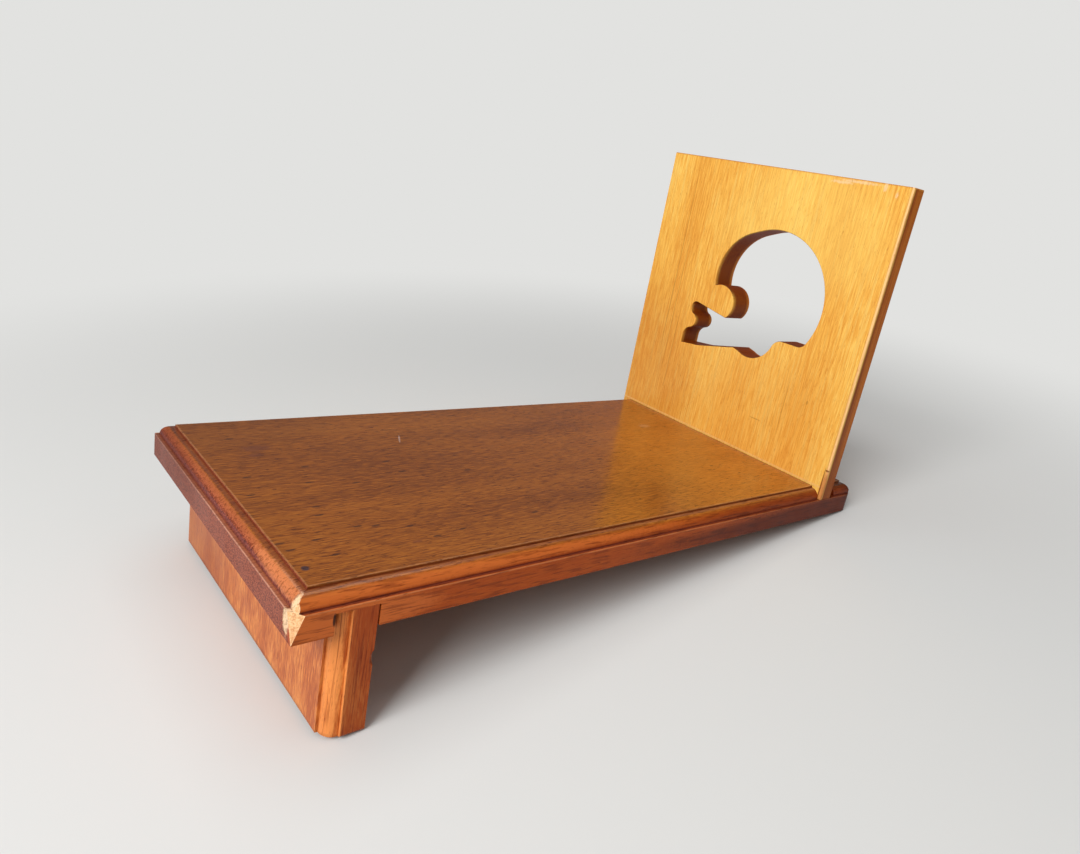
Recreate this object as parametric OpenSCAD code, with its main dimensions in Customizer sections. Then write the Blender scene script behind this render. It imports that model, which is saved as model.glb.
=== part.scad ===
// Slanted book stand, in millimetres.
// Three moulded boards: a base that slopes down to an upright end panel, and a foot board
// that lifts the other end. Both uprights stand in housings cut across the base.
// The boards are drawn in the base board's own frame: x runs from the raised end to the low
// end, y from the front edge to the back edge, and z is up from the deck, which is z = 0.
// The whole stand is then tilted until it rests on the table, which is z = 0.

/* [Boards and moulding] */
// Thickness of the base board and the end panel
board_thickness = 16; // [14:0.5:20]
// Small upright step where the moulding leaves the flat face
quirk_step = 1; // [0.5:0.25:2]
// Radius of the moulding's quarter round
ovolo_radius = 5; // [3.5:0.5:7]
// Width of the flat ledge outside the quarter round
ledge_width = 1.6; // [0.8:0.2:3]

/* [Base board] */
// Length of the base board along the slope
base_length = 324; // [280:1:420]
// Width of the base board, which the panel and the foot share
base_width = 160; // [150:1:220]

/* [End panel] */
// Length of base board left beyond the back of the panel
lip_length = 18; // [14:1:40]
// Height of the panel above the deck
panel_height = 160; // [145:1:220]

/* [Foot board] */
// Thickness of the foot board, which is planed a little thinner
foot_thickness = 15; // [13:0.5:20]
// Distance from the raised end to the outer face of the foot
foot_set_in = 14; // [12:1:40]
// Height of the foot below the underside of the base
foot_drop = 42.5; // [25:0.5:80]

/* [Joints] */
// Gap on each side of an upright in its housing
housing_clearance = 0.15; // [0.05:0.05:0.3]
// Extra width of the foot's housing, which shows as a gap behind the foot
foot_slack = 0.5; // [0:0.1:1.5]
// Wood left between the ledge of the base's moulding and the top of the foot's housing
foot_housing_cover = 1.8; // [0:0.2:4]

/* [Helmet cut-out] */
// Middle of the helmet's crown, from the back edge of the panel
crown_from_back = 92; // [80:1:110]
// Middle of the helmet's crown, above the deck
crown_above_deck = 90; // [75:1:100]
// Radius of the crown
crown_radius = 37.5; // [34:0.5:40]
// Radius of the fuller curve over the brow
brow_radius = 29.3; // [26:0.1:32]
// How far the brow stands out past the crown's own curve
brow_fullness = 2.3; // [0.5:0.1:3]
// Radius of the rounded ear flap
ear_radius = 15.25; // [13:0.25:17]
// Radius of the hollow between the ear flap and the nape
nape_hollow_radius = 6.5; // [4:0.5:8]
// Radius of the corner at the nape
nape_corner_radius = 5.5; // [2:0.5:7]
// Radius of the curve at the front of the ear opening
cheek_radius = 10.6; // [9:0.1:11.5]
// Radius of the end of the upper guard bar
upper_bar_radius = 3.75; // [3:0.25:4.5]
// Radius of the end of the lower guard bar
lower_bar_radius = 5.9; // [5:0.1:6.5]
// Radius of the notch between the two guard bars
bar_notch_radius = 4.7; // [4:0.1:5.2]

/* [Hidden] */
$fn = 96;

// How far cutters run past the faces that they cut
overcut = 2;

// Moulding
moulding_width = ledge_width + ovolo_radius;
moulding_depth = quirk_step + ovolo_radius;

// Places along the base
panel_front_x = base_length - lip_length - board_thickness;
foot_inner_x = foot_set_in + foot_thickness;
foot_housing_depth = board_thickness - moulding_depth - foot_housing_cover;

// The stand rests on the foot's inner bottom edge and on the low end's bottom edge
slope = atan(foot_drop / (base_length - foot_inner_x));
drop_to_table = base_length * sin(slope) + board_thickness * cos(slope);

// Ends of the tilted stand: the base's raised bottom edge, and the panel's back or the low end
raised_end_x = -board_thickness * sin(slope);
panel_back_end_x = (panel_front_x + board_thickness) * cos(slope)
    + (panel_height - moulding_width) * sin(slope);
base_low_end_x = base_length * cos(slope) - moulding_depth * sin(slope);
middle_x = (raised_end_x + max(panel_back_end_x, base_low_end_x)) / 2;

// Depth by which touching curves of the helmet overlap, so that they always meet
touch_overlap = 0.02;
// How far a straight run of the helmet ends inside the curve that it joins
join_depth = 0.3;

// A step of one millimetre in a direction, counted in degrees from the front edge upwards
function along(direction) = [cos(direction), sin(direction)];

// Helmet outline: places from the middle of the crown, first towards the front edge, then up
brow_direction = 149;
brow_centre = (crown_radius - brow_radius + brow_fullness) * along(brow_direction);
// Where a straight run blends the brow into the crown
brow_blend_direction = brow_direction
    - acos((crown_radius - brow_radius) / norm(brow_centre));
brow_corner = [-37.7, -0.9];
cheek_centre = [-31.7, -10.4];
cheek_top = cheek_centre + [0, cheek_radius - join_depth];

// Ear flap, and the hollow that blends it into the line of the nape
ear_centre = [-2.5, -20.4];
nape_height = -20.8;
nape_hollow_drop = nape_hollow_radius - touch_overlap;
nape_hollow_reach = sqrt(
    (ear_radius + nape_hollow_radius - touch_overlap) ^ 2
        - (ear_centre[1] - nape_height + nape_hollow_drop) ^ 2
);
nape_hollow_centre = [ear_centre[0] + nape_hollow_reach, nape_height - nape_hollow_drop];

// Rounded corner where the nape meets the crown
nape_corner_up = nape_height + nape_corner_radius - touch_overlap;
nape_corner_reach = sqrt(
    (crown_radius - nape_corner_radius + touch_overlap) ^ 2 - nape_corner_up ^ 2
);
nape_corner_centre = [nape_corner_reach, nape_corner_up];

// Face guard: an upper and a lower bar with a round notch between their ends
notch_from_upper_bar = 250.5;
lower_bar_from_notch = 285.5;
upper_bar_centre = [-48.1, -17.8];
bar_notch_centre = upper_bar_centre
    + (upper_bar_radius + bar_notch_radius - touch_overlap) * along(notch_from_upper_bar);
lower_bar_centre = bar_notch_centre
    + (lower_bar_radius + bar_notch_radius - touch_overlap) * along(lower_bar_from_notch);
guard_top_direction = 80;
guard_top_outer = upper_bar_centre
    + (upper_bar_radius - touch_overlap) * along(guard_top_direction);
guard_top_inner = [-24.5, -18.2];
// Straight outer side of the lower bar's end, below its round top
lower_bar_side = 4.7;
guard_tip = lower_bar_centre - [lower_bar_radius - touch_overlap, lower_bar_side];
guard_bend = [-40, -39.2];
guard_root = [-13.5, -33];
ear_join_direction = 247;
ear_join = ear_centre + (ear_radius - join_depth) * along(ear_join_direction);
// Larger than the whole helmet, for cutting half of it away
helmet_span = 2 * crown_radius + 2 * lower_bar_radius;

// Tilts a board from the base's frame and sets the stand on the table, centred
module on_table() {
    translate([-middle_x, -base_width / 2, drop_to_table])
        rotate([0, slope, 0])
            children();
}

// What the moulding takes off the corner of a board's section
module moulding_waste(thickness) {
    difference() {
        translate([-overcut, thickness - moulding_depth])
            square([moulding_width + overcut, moulding_depth + overcut]);
        translate([moulding_width, thickness - moulding_depth])
            circle(r = ovolo_radius);
    }
}

// Section across a board: plain face at 0, moulded face at the board's thickness
module board_section(width, thickness = board_thickness, first_edge = true) {
    difference() {
        square([width, thickness]);
        if (first_edge) {
            moulding_waste(thickness);
        }
        translate([width, 0])
            mirror([1, 0])
                moulding_waste(thickness);
    }
}

// Slab whose moulded face is up, moulded along its front and back edges
module slab_moulded_along(length) {
    rotate([90, 0, 90])
        linear_extrude(length)
            board_section(base_width);
}

// Slab whose moulded face is up, moulded across its two ends
module slab_moulded_across() {
    translate([0, base_width, 0])
        rotate([90, 0, 0])
            linear_extrude(base_width)
                board_section(base_length);
}

// Housing cut across the base for an upright, open at both edges
module housing(from_x, width, bottom_z, height) {
    translate([from_x, -overcut, bottom_z])
        cube([width, base_width + 2 * overcut, height]);
}

module base_board() {
    color("sienna")
        on_table()
            difference() {
                translate([0, 0, -board_thickness])
                    intersection() {
                        slab_moulded_along(base_length);
                        slab_moulded_across();
                    }
                housing(
                    panel_front_x - housing_clearance,
                    board_thickness + 2 * housing_clearance,
                    -moulding_depth,
                    moulding_depth + overcut
                );
                housing(
                    foot_set_in - housing_clearance,
                    foot_thickness + 2 * housing_clearance + foot_slack,
                    -board_thickness - overcut,
                    foot_housing_depth + overcut
                );
            }
}

// Crown of the helmet, above the line of the nape, with its rounded corner
module helmet_crown() {
    difference() {
        union() {
            circle(r = crown_radius);
            translate(brow_centre)
                circle(r = brow_radius);
            polygon([
                [0, 0],
                (crown_radius - touch_overlap) * along(brow_blend_direction),
                brow_centre + (brow_radius - touch_overlap) * along(brow_blend_direction),
                brow_centre
            ]);
        }
        translate([-helmet_span, nape_height - helmet_span])
            square([2 * helmet_span, helmet_span]);
        polygon([
            nape_corner_centre,
            2 * nape_corner_centre,
            [nape_corner_centre[0], 2 * nape_corner_centre[1]]
        ]);
    }
    translate(nape_corner_centre)
        circle(r = nape_corner_radius);
}

// Wood left standing in front of the ear, which the crown goes round
module helmet_cheek() {
    translate(cheek_centre)
        circle(r = cheek_radius);
    polygon([
        [brow_corner[0] - brow_radius, brow_corner[1]],
        brow_corner,
        cheek_top,
        [cheek_top[0], nape_height - overcut],
        [brow_corner[0] - brow_radius, nape_height - overcut]
    ]);
}

// Rounded ear flap and the hollow that blends it into the nape
module helmet_ear() {
    translate(ear_centre)
        circle(r = ear_radius);
    difference() {
        polygon([ear_centre, nape_hollow_centre, [nape_hollow_centre[0], nape_height]]);
        translate(nape_hollow_centre)
            circle(r = nape_hollow_radius);
    }
}

// Face guard: two bars that meet below the cheek
module helmet_guard() {
    difference() {
        union() {
            polygon([
                guard_tip,
                guard_bend,
                guard_root,
                ear_join,
                ear_centre,
                [ear_centre[0], guard_top_inner[1]],
                guard_top_inner,
                guard_top_outer,
                upper_bar_centre,
                bar_notch_centre,
                lower_bar_centre,
                [guard_tip[0], lower_bar_centre[1]]
            ]);
            translate(upper_bar_centre)
                circle(r = upper_bar_radius);
            intersection() {
                translate(lower_bar_centre)
                    circle(r = lower_bar_radius);
                translate(lower_bar_centre - [helmet_span / 2, overcut])
                    square(helmet_span);
            }
        }
        translate(bar_notch_centre)
            circle(r = bar_notch_radius);
    }
}

// Outline of the helmet, seen from the raised end
module helmet_outline() {
    difference() {
        helmet_crown();
        helmet_cheek();
    }
    helmet_ear();
    helmet_guard();
}

// Upright panel, moulded on its outer face along the top and both sides
module end_panel() {
    color("goldenrod")
        on_table()
            translate([panel_front_x, 0, -moulding_depth])
                difference() {
                    intersection() {
                        linear_extrude(moulding_depth + panel_height)
                            mirror([1, 0])
                                rotate(90)
                                    board_section(base_width);
                        translate([0, base_width, 0])
                            rotate([90, 0, 0])
                                linear_extrude(base_width)
                                    mirror([1, 0])
                                        rotate(90)
                                            board_section(
                                                moulding_depth + panel_height,
                                                first_edge = false
                                            );
                    }
                    translate([
                        -overcut,
                        base_width - crown_from_back,
                        moulding_depth + crown_above_deck
                    ])
                        rotate([90, 0, 90])
                            linear_extrude(board_thickness + 2 * overcut)
                                mirror([1, 0])
                                    helmet_outline();
                }
}

// Foot across the underside, moulded on its outer face along both ends
module foot_board() {
    color("peru")
        on_table()
            translate([foot_inner_x, 0, -board_thickness - foot_drop])
                linear_extrude(foot_drop + foot_housing_depth)
                    rotate(90)
                        board_section(base_width, foot_thickness);
}

base_board();
end_panel();
foot_board();
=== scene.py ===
"""A slanted book stand of three moulded mahogany boards, in a plain studio.

Each board is shaped in the base board's own frame, in millimetres: x runs from the raised
end to the low end, y from the front edge to the back edge, and z is up from the deck.
A finished board is then tilted, scaled to metres and set on the table in one step.
"""

import logging
import math
from collections.abc import Callable, Iterator
from contextlib import contextmanager
from dataclasses import dataclass
from enum import Enum

import bmesh
import bpy
from mathutils import Matrix, Quaternion, Vector


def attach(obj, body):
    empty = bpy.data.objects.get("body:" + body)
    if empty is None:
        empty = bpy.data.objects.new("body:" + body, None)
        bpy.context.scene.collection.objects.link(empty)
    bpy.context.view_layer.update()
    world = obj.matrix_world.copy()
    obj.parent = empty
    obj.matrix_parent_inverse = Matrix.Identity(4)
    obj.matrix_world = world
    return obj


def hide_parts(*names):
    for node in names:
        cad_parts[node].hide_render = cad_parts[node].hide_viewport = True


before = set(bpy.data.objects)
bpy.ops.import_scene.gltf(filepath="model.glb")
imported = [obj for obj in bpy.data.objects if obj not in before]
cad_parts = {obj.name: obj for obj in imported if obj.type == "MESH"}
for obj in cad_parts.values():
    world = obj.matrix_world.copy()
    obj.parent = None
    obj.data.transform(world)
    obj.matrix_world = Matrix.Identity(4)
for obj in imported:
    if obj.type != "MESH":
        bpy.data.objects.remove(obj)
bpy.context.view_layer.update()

METRES = 0.001
Point = tuple[float, float, float]
Flat = tuple[float, float]
Socket = bpy.types.NodeSocket

# In millimetres: how near two places are that count as one, how far a cutter runs past a
# board, and how much longer than needed a board is before it is moulded and cut.
SAME_PLACE = 0.01
PAST = 2.0
SPARE = 20.0

# Least cosine of the turn between two directions that count as one.
SAME_WAY = 0.999

log = logging.getLogger("book_stand")


# Sizes


@dataclass(frozen=True)
class Moulding:
    """The quarter-round moulding that all three boards share, in millimetres."""

    quirk: float = 1.0
    ovolo: float = 5.0
    ledge: float = 1.6
    quirk_lean: float = 0.05
    steps: int = 10

    @property
    def width(self) -> float:
        """Width of the moulding, from the board's edge to the foot of the quirk."""
        return self.ledge + self.ovolo

    @property
    def depth(self) -> float:
        """Depth of the moulding, from the flat face down to the ledge."""
        return self.quirk + self.ovolo

    def work(self) -> None:
        """Raises the selected face through the moulding, one inset for each step."""
        bpy.ops.mesh.inset(thickness=self.ledge, depth=0.0)
        for step in range(self.steps):
            start = math.radians(90 * step / self.steps)
            end = math.radians(90 * (step + 1) / self.steps)
            bpy.ops.mesh.inset(
                thickness=self.ovolo * (math.cos(start) - math.cos(end)),
                depth=self.ovolo * (math.sin(end) - math.sin(start)),
            )
        bpy.ops.mesh.inset(thickness=self.quirk_lean, depth=self.quirk)


@dataclass(frozen=True)
class StandSizes:
    """Sizes of the stand, in millimetres."""

    thickness: float = 16.0
    length: float = 324.0
    width: float = 160.0
    lip: float = 18.0
    panel_height: float = 160.0
    foot_set_in: float = 14.0
    foot_thickness: float = 15.0
    foot_drop: float = 42.5
    clearance: float = 0.15
    foot_slack: float = 0.5
    foot_housing_cover: float = 1.8
    moulding: Moulding = Moulding()

    @property
    def panel_front(self) -> float:
        """Place of the panel's flat inner face along the base."""
        return self.length - self.lip - self.thickness

    @property
    def panel_back(self) -> float:
        """Place of the panel's moulded outer face along the base."""
        return self.panel_front + self.thickness

    @property
    def foot_inner(self) -> float:
        """Place of the foot's inner face along the base."""
        return self.foot_set_in + self.foot_thickness

    @property
    def foot_top(self) -> float:
        """Height of the foot's top, and of its housing's, from the deck."""
        return -self.moulding.depth - self.foot_housing_cover

    @property
    def foot_bottom(self) -> float:
        """Height of the foot's bottom from the deck, which is below it."""
        return -self.thickness - self.foot_drop

    @property
    def slope(self) -> float:
        """Angle in radians between the deck and the table."""
        return math.atan(self.foot_drop / (self.length - self.foot_inner))

    @property
    def place(self) -> Vector:
        """Works out where the board frame's origin comes on the table.

        Returns:
            Its place in millimetres, with the stand's box centred and on the table.
        """
        sine, cosine = math.sin(self.slope), math.cos(self.slope)
        raised_end = -self.thickness * sine
        panel_flat_top = self.panel_height - self.moulding.width
        panel_end = self.panel_back * cosine + panel_flat_top * sine
        low_end = self.length * cosine - self.moulding.depth * sine
        middle = (raised_end + max(panel_end, low_end)) / 2
        drop = self.length * sine + self.thickness * cosine
        return Vector((-middle, -self.width / 2, drop))


@dataclass(frozen=True)
class Helmet:
    """Sizes of the helmet-shaped cut-out, from the middle of its crown, in millimetres.

    The first number of a place runs towards the front edge of the panel, the second up.
    Directions are in degrees.
    """

    from_back: float = 92.0
    above_deck: float = 90.0
    crown: float = 37.5
    brow: float = 29.3
    brow_fullness: float = 2.3
    brow_direction: float = 149.0
    brow_corner: Flat = (-37.62, -0.89)
    cheek: float = 10.6
    cheek_centre: Flat = (-31.7, -10.4)
    cheek_start: float = 113.2
    cheek_end: float = -47.3
    ear: float = 15.25
    ear_centre: Flat = (-2.5, -20.4)
    ear_start: float = 244.4
    nape_height: float = -20.8
    nape_hollow: float = 6.5
    nape_corner: float = 5.5
    upper_bar: float = 3.75
    upper_bar_centre: Flat = (-48.1, -17.8)
    upper_bar_start: float = 80.0
    lower_bar: float = 5.9
    lower_bar_side: float = 4.7
    bar_notch: float = 4.7
    notch_from_upper_bar: float = 250.5
    lower_bar_from_notch: float = 285.5
    guard_bend: Flat = (-40.0, -39.2)
    guard_root: Flat = (-13.5, -33.0)


# Shaping at the bench


def along(degrees: float) -> Vector:
    """A flat step of one in a direction."""
    angle = math.radians(degrees)
    return Vector((math.cos(angle), math.sin(angle)))


def direction_of(step: Vector) -> float:
    """Direction of a flat step, in degrees."""
    return math.degrees(math.atan2(step.y, step.x))


def clear_selection() -> None:
    """Deselects every object, so that an operator acts on one alone."""
    bpy.ops.object.select_all(action="DESELECT")


class Layer(Enum):
    """Which finish a face carries, by its place among the piece's materials."""

    VARNISH = 0
    BARE = 1


@dataclass
class Workpiece:
    """One mesh on the bench, shaped by the operators that a modeller would use."""

    obj: bpy.types.Object

    @classmethod
    def from_primitive(cls, name: str, scale: Point) -> "Workpiece":
        """Takes up the primitive that was added last.

        Args:
            name: Name that the object and its mesh are given.
            scale: How much it is stretched each way.

        Returns:
            The workpiece, with its place and size in its mesh.
        """
        obj = bpy.context.object
        obj.name = obj.data.name = name
        obj.scale = scale
        bpy.ops.object.transform_apply(location=True, rotation=True, scale=True)
        return cls(obj)

    @classmethod
    def block(
        cls, name: str, low: Point, high: Point, finishes: tuple[bpy.types.Material, ...] = ()
    ) -> "Workpiece":
        """Saws a block between two corners.

        Args:
            name: Name of the new object.
            low: Lowest corner in millimetres.
            high: Highest corner in millimetres.
            finishes: Its materials, in the order of the layers.

        Returns:
            The block, as a workpiece.
        """
        clear_selection()
        middle = (Vector(low) + Vector(high)) / 2
        bpy.ops.mesh.primitive_cube_add(size=1, location=middle)
        piece = cls.from_primitive(name, Vector(high) - Vector(low))
        for finish in finishes:
            piece.obj.data.materials.append(finish)
        return piece

    @classmethod
    def gouge(cls, name: str, centre: Point, reach: Point) -> "Workpiece":
        """Makes a faceted cutter that leaves a chip.

        Args:
            name: Name of the cutter.
            centre: Its middle in millimetres.
            reach: How far it reaches each way.

        Returns:
            The cutter.
        """
        clear_selection()
        bpy.ops.mesh.primitive_ico_sphere_add(subdivisions=2, radius=1.0, location=centre)
        return cls.from_primitive(name, reach)

    def take_up(self) -> None:
        """Makes the piece the one that operators act on."""
        clear_selection()
        self.obj.select_set(True)
        bpy.context.view_layer.objects.active = self.obj

    @contextmanager
    def editing(self, select: str = "DESELECT") -> Iterator[None]:
        """Opens the mesh for shaping, alone.

        Args:
            select: SELECT to select all of it at first, DESELECT to select nothing.
        """
        self.take_up()
        bpy.ops.object.mode_set(mode="EDIT")
        bpy.ops.mesh.select_all(action=select)
        yield
        bpy.ops.object.mode_set(mode="OBJECT")

    def mould(self, outward: Point, moulding: Moulding) -> None:
        """Works the moulding round the face that looks in one direction.

        Args:
            outward: Direction of the face, which is square to the board.
            moulding: Sizes of the moulding.
        """
        with self.editing():
            bpy.ops.mesh.select_mode(type="FACE")
            mesh = bmesh.from_edit_mesh(self.obj.data)
            for face in mesh.faces:
                face.select_set(face.normal.dot(Vector(outward)) > SAME_WAY)
            bmesh.update_edit_mesh(self.obj.data)
            moulding.work()

    def saw(self, point: Point, outward: Point, layer: Layer = Layer.VARNISH) -> None:
        """Cuts off all that lies on the outer side of a plane, and closes the cut.

        Args:
            point: A point on the plane, in millimetres.
            outward: Direction of the side that falls away.
            layer: Finish of the cut.
        """
        normal = Vector(outward).normalized()
        with self.editing("SELECT"):
            bpy.ops.mesh.bisect(plane_co=point, plane_no=normal, use_fill=True, clear_outer=True)
            mesh = bmesh.from_edit_mesh(self.obj.data)
            for face in mesh.faces:
                off = (face.calc_center_median() - Vector(point)).dot(normal)
                if abs(off) < SAME_PLACE and face.normal.dot(normal) > SAME_WAY:
                    face.material_index = layer.value
            bmesh.update_edit_mesh(self.obj.data)

    def round_edges(self, radius: float, test: Callable[[Vector], bool], segments: int = 8) -> None:
        """Rounds the edges of a plain block whose two ends pass a test.

        Args:
            radius: Radius in millimetres.
            test: Takes an end of an edge, and says whether it passes.
            segments: Faces across the rounding.
        """
        with self.editing():
            bpy.ops.mesh.select_mode(type="EDGE")
            mesh = bmesh.from_edit_mesh(self.obj.data)
            for edge in mesh.edges:
                edge.select_set(all(test(end.co) for end in edge.verts))
            bmesh.update_edit_mesh(self.obj.data)
            bpy.ops.mesh.bevel(offset=radius, segments=segments, affect="EDGES")

    def combine(self, tool: "Workpiece", operation: str) -> None:
        """Cuts the piece with another one, which is used up.

        Args:
            tool: The other piece.
            operation: DIFFERENCE to take it away, INTERSECT to keep what is inside it.
        """
        self.take_up()
        cut = self.obj.modifiers.new("cut", "BOOLEAN")
        cut.operation = operation
        cut.solver = "EXACT"
        cut.object = tool.obj
        bpy.ops.object.modifier_apply(modifier=cut.name)
        bpy.data.objects.remove(tool.obj)

    def merge_slivers(self, distance: float = 0.004) -> None:
        """Merges the points that a cut or a rounding left almost on each other."""
        bpy.ops.mesh.remove_doubles(threshold=distance)

    def ease(
        self,
        width: float,
        segments: int = 3,
        flat_angle: float = 0.5,
        arris_angle: float = 38.0,
        smooth_angle: float = 32.0,
    ) -> None:
        """Rounds every arris and corner slightly, as sanding and years of use do.

        Args:
            width: How far the rounding reaches from an arris, in millimetres.
            segments: Faces across the rounding.
            flat_angle: Greatest turn in degrees across an edge that is cleaned away.
            arris_angle: Least turn in degrees of an edge that is an arris.
            smooth_angle: Least turn in degrees of an edge that is shaded as one.
        """
        with self.editing("SELECT"):
            self.merge_slivers()
            bpy.ops.mesh.dissolve_limited(angle_limit=math.radians(flat_angle))
        sanding = self.obj.modifiers.new("sanding", "BEVEL")
        sanding.width = width
        sanding.segments = segments
        sanding.limit_method = "ANGLE"
        sanding.angle_limit = math.radians(arris_angle)
        sanding.use_clamp_overlap = True
        bpy.ops.object.modifier_apply(modifier=sanding.name)
        with self.editing("SELECT"):
            self.merge_slivers()
        bpy.ops.object.shade_smooth_by_angle(angle=math.radians(smooth_angle))
        flats = self.obj.modifiers.new("true_flats", "WEIGHTED_NORMAL")
        flats.keep_sharp = True
        bpy.ops.object.modifier_apply(modifier=flats.name)

    def set_on_table(self, sizes: StandSizes) -> bpy.types.Object:
        """Tilts the piece, turns millimetres to metres and sets it on the table.

        Args:
            sizes: Sizes of the stand.

        Returns:
            The object, whose place is in its mesh.
        """
        self.take_up()
        self.obj.scale = (METRES, METRES, METRES)
        self.obj.rotation_euler = (0.0, sizes.slope, 0.0)
        self.obj.location = sizes.place * METRES
        bpy.ops.object.transform_apply(location=True, rotation=True, scale=True)
        return self.obj


class Fretsaw:
    """Follows an outline across a board, and leaves a cutter of that outline.

    Attributes:
        degrees_a_step: Turn of each straight step along an arc.
        fewest_steps: Fewest steps of an arc.
        gap: Least distance in millimetres to an arc's start that needs a straight run.
        join: How near each other the two ends of the outline are joined, in millimetres.
    """

    degrees_a_step = 5
    fewest_steps = 4
    gap = 0.1
    join = 0.02

    def __init__(self, start: Vector, place: Callable[[Vector], Vector]) -> None:
        """Sets the blade at the start of the outline.

        Args:
            start: First point of the outline, flat.
            place: Turns a flat point of the outline into a place on the board.
        """
        clear_selection()
        self.place = place
        self.point = start
        bpy.ops.mesh.primitive_plane_add(size=1, location=place(start))
        self.piece = Workpiece.from_primitive("cutter", (1.0, 1.0, 1.0))
        bpy.ops.object.mode_set(mode="EDIT")
        bpy.ops.mesh.select_mode(type="VERT")
        bpy.ops.mesh.select_all(action="SELECT")
        bpy.ops.mesh.merge(type="CENTER")

    def straight(self, end: Vector) -> None:
        """Saws straight to a point.

        Args:
            end: The point, flat.
        """
        step = self.place(end) - self.place(self.point)
        bpy.ops.mesh.extrude_region_move(TRANSFORM_OT_translate={"value": step})
        self.point = end

    def curve(self, centre: Vector, radius: float, start: float, end: float) -> None:
        """Saws along an arc, after a straight run to its start if there is a gap.

        Args:
            centre: Middle of the arc.
            radius: Radius in millimetres.
            start: Direction of the arc's start from its middle, in degrees.
            end: Direction of its end, which is below the start for a hollow.
        """
        first = centre + radius * along(start)
        if (first - self.point).length > self.gap:
            self.straight(first)
        steps = max(self.fewest_steps, round(abs(end - start) / self.degrees_a_step))
        for step in range(1, steps + 1):
            direction = start + (end - start) * step / steps
            self.straight(centre + radius * along(direction))

    def through(self, depth: Point) -> Workpiece:
        """Closes the outline and drives it through the board.

        Args:
            depth: Way through the board, in millimetres.

        Returns:
            The cutter.
        """
        bpy.ops.mesh.select_all(action="SELECT")
        bpy.ops.mesh.remove_doubles(threshold=self.join)
        bpy.ops.mesh.edge_face_add()
        bpy.ops.mesh.extrude_region_move(TRANSFORM_OT_translate={"value": depth})
        bpy.ops.mesh.select_all(action="SELECT")
        bpy.ops.mesh.normals_make_consistent(inside=False)
        bpy.ops.object.mode_set(mode="OBJECT")
        return self.piece


# Finishes


def linear(hex_colour: str) -> tuple[float, float, float, float]:
    """Turns an sRGB hex value into Blender's linear colour.

    Args:
        hex_colour: Six hex digits after a hash.

    Returns:
        Linear red, green, blue and an alpha of 1.
    """
    channels = [int(hex_colour[i : i + 2], 16) / 255 for i in (1, 3, 5)]
    red, green, blue = [
        c / 12.92 if c <= 0.04045 else ((c + 0.055) / 1.055) ** 2.4 for c in channels
    ]
    return (red, green, blue, 1.0)


class Grain(Enum):
    """Direction in which a board's grain runs, in the base board's frame."""

    ALONG = 0
    UPRIGHT = 2

    @property
    def across_face(self) -> int:
        """Axis that stands on the board's moulded face."""
        return 2 if self is Grain.ALONG else 0


@dataclass(frozen=True)
class Mark:
    """A soft-edged patch on the wood: an ellipsoid in millimetres.

    Attributes:
        centre: Middle of the patch.
        radii: How far it reaches each way.
        ragged: How much the grain breaks up its edge.
        turn: Turn in the plane of the board, in degrees.
    """

    centre: Point
    radii: Point
    ragged: float = 0.0
    turn: float = 0.0


@dataclass(frozen=True)
class StainAndLight:
    """Marks of one colour: dirt and wear on the wood, and painted highlights and painted shade.

    Attributes:
        colour: sRGB hex value.
        strength: How much of the wood's own colour it hides.
        marks: The patches.
        in_section: Whether places are distance from the edge, and depth in the moulding.
        raised_end_only: Whether the mitres at the raised end bound it.
    """

    colour: str
    strength: float
    marks: tuple[Mark, ...]
    in_section: bool = False
    raised_end_only: bool = False


@dataclass(frozen=True)
class Gauge:
    """Measures how far a place is from a straight edge or a flat face of a board.

    Attributes:
        axis: Number of the axis that it measures along.
        start: Place of the edge or the face on that axis, in millimetres.
        way: 1 where it measures up the axis, and -1 where it measures down it.
    """

    axis: int
    start: float = 0.0
    way: float = 1.0


@dataclass(frozen=True)
class MouldedFace:
    """Where a board is moulded, for marks that follow the moulding.

    Attributes:
        edges: Gauges from its moulded edges: both sides first, then the raised end if it has
            one, then the rest.
        face: Gauge from its flat moulded face, outwards.
        mitre_blur: Half the width in which the raised end's marks give way to the sides', in
            millimetres, or 0 where the marks go all round.
    """

    edges: tuple[Gauge, ...]
    face: Gauge
    mitre_blur: float = 0.0


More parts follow.
